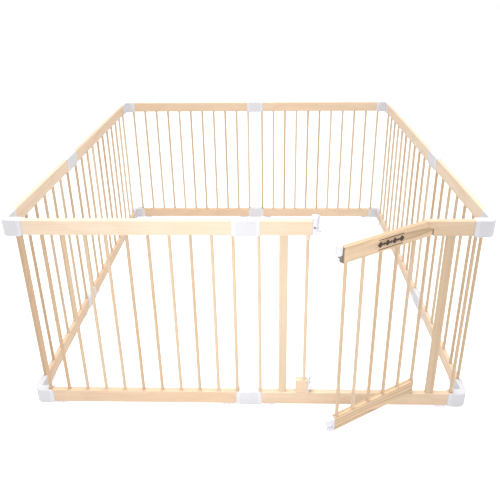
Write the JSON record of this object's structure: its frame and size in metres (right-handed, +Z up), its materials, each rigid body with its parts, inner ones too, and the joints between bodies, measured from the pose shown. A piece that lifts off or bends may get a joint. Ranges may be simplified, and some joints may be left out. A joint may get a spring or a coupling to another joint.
{
  "type": "playpen",
  "caption": "Rectangular wooden playpen of barred panels in plastic sleeves, with a hinged gate and a drop bolt latch.",
  "frame": {"origin": "on the floor, under the middle of the object's bounding box with the gate standing open at rest", "axes": "+X to the right seen from outside the gate side, +Y from the gate side to the back, +Z up"},
  "size_m": [1.541, 1.4265, 0.751],
  "materials": {
    "wood": "pale pine with a clear satin varnish",
    "gate_wood": "pale pine with a clear satin varnish",
    "sleeve_plastic": "white moulded plastic, satin",
    "latch_plastic": "white moulded plastic, satin",
    "grey_plastic": "grey moulded plastic",
    "foot_rubber": "white soft rubber",
    "steel": "plain steel"
  },
  "bodies": {
    "pen": {"back_left_panel": "wood", "back_right_panel": "wood", "bottom_corner_sleeve_back_left": "sleeve_plastic", "bottom_corner_sleeve_back_right": "sleeve_plastic", "bottom_corner_sleeve_front_left": "sleeve_plastic", "bottom_corner_sleeve_front_right": "sleeve_plastic", "bottom_middle_sleeve_back": "sleeve_plastic", "bottom_middle_sleeve_front": "sleeve_plastic", "bottom_middle_sleeve_left": "sleeve_plastic", "bottom_middle_sleeve_right": "sleeve_plastic", "foot_back_1": "foot_rubber", "foot_back_2": "foot_rubber", "foot_back_3": "foot_rubber", "foot_back_4": "foot_rubber", "foot_front_1": "foot_rubber", "foot_front_2": "foot_rubber", "foot_front_3": "foot_rubber", "foot_front_4": "foot_rubber", "foot_left_1": "foot_rubber", "foot_left_2": "foot_rubber", "foot_left_3": "foot_rubber", "foot_left_4": "foot_rubber", "foot_right_1": "foot_rubber", "foot_right_2": "foot_rubber", "foot_right_3": "foot_rubber", "foot_right_4": "foot_rubber", "front_left_panel": "wood", "gate_panel_bottom_rail": "wood", "gate_panel_corner_bar": "wood", "hinge_side_slat": "wood", "hinge_side_top_rail": "wood", "latch_bar_collar": "latch_plastic", "latch_post_bar": "wood", "latch_post_block": "wood", "latch_receiver": "latch_plastic", "latch_side_slat": "wood", "latch_side_top_rail": "wood", "left_back_panel": "wood", "left_front_panel": "wood", "lower_hinge_pin": "steel", "lower_receiver": "latch_plastic", "middle_joint_bar": "wood", "receiver_screw": "steel", "right_back_panel": "wood", "right_front_panel": "wood", "top_corner_sleeve_back_left": "sleeve_plastic", "top_corner_sleeve_back_right": "sleeve_plastic", "top_corner_sleeve_front_left": "sleeve_plastic", "top_corner_sleeve_front_right": "sleeve_plastic", "top_middle_sleeve_back": "sleeve_plastic", "top_middle_sleeve_front": "sleeve_plastic", "top_middle_sleeve_left": "sleeve_plastic", "top_middle_sleeve_right": "sleeve_plastic", "upper_hinge_pin": "steel"},
    "gate": {"gate_top_rail": "gate_wood", "gate_lower_frame": "gate_wood", "latch_housing": "grey_plastic", "lower_catch": "latch_plastic"},
    "latch": {"latch_knob": "latch_plastic", "latch_bolt": "steel"}
  },
  "joints": [
    {"name": "gate_hinge", "type": "hinge", "parent": "pen", "child": "gate", "pos_m": [0.559, -0.55767, 0], "axis": [0, 0, 1], "range_deg": [-25.5, 64.5]},
    {"name": "latch_slide", "type": "slide", "parent": "gate", "child": "latch", "axis": [0, 0, 1], "range_m": [-0.01, 0]}
  ]
}
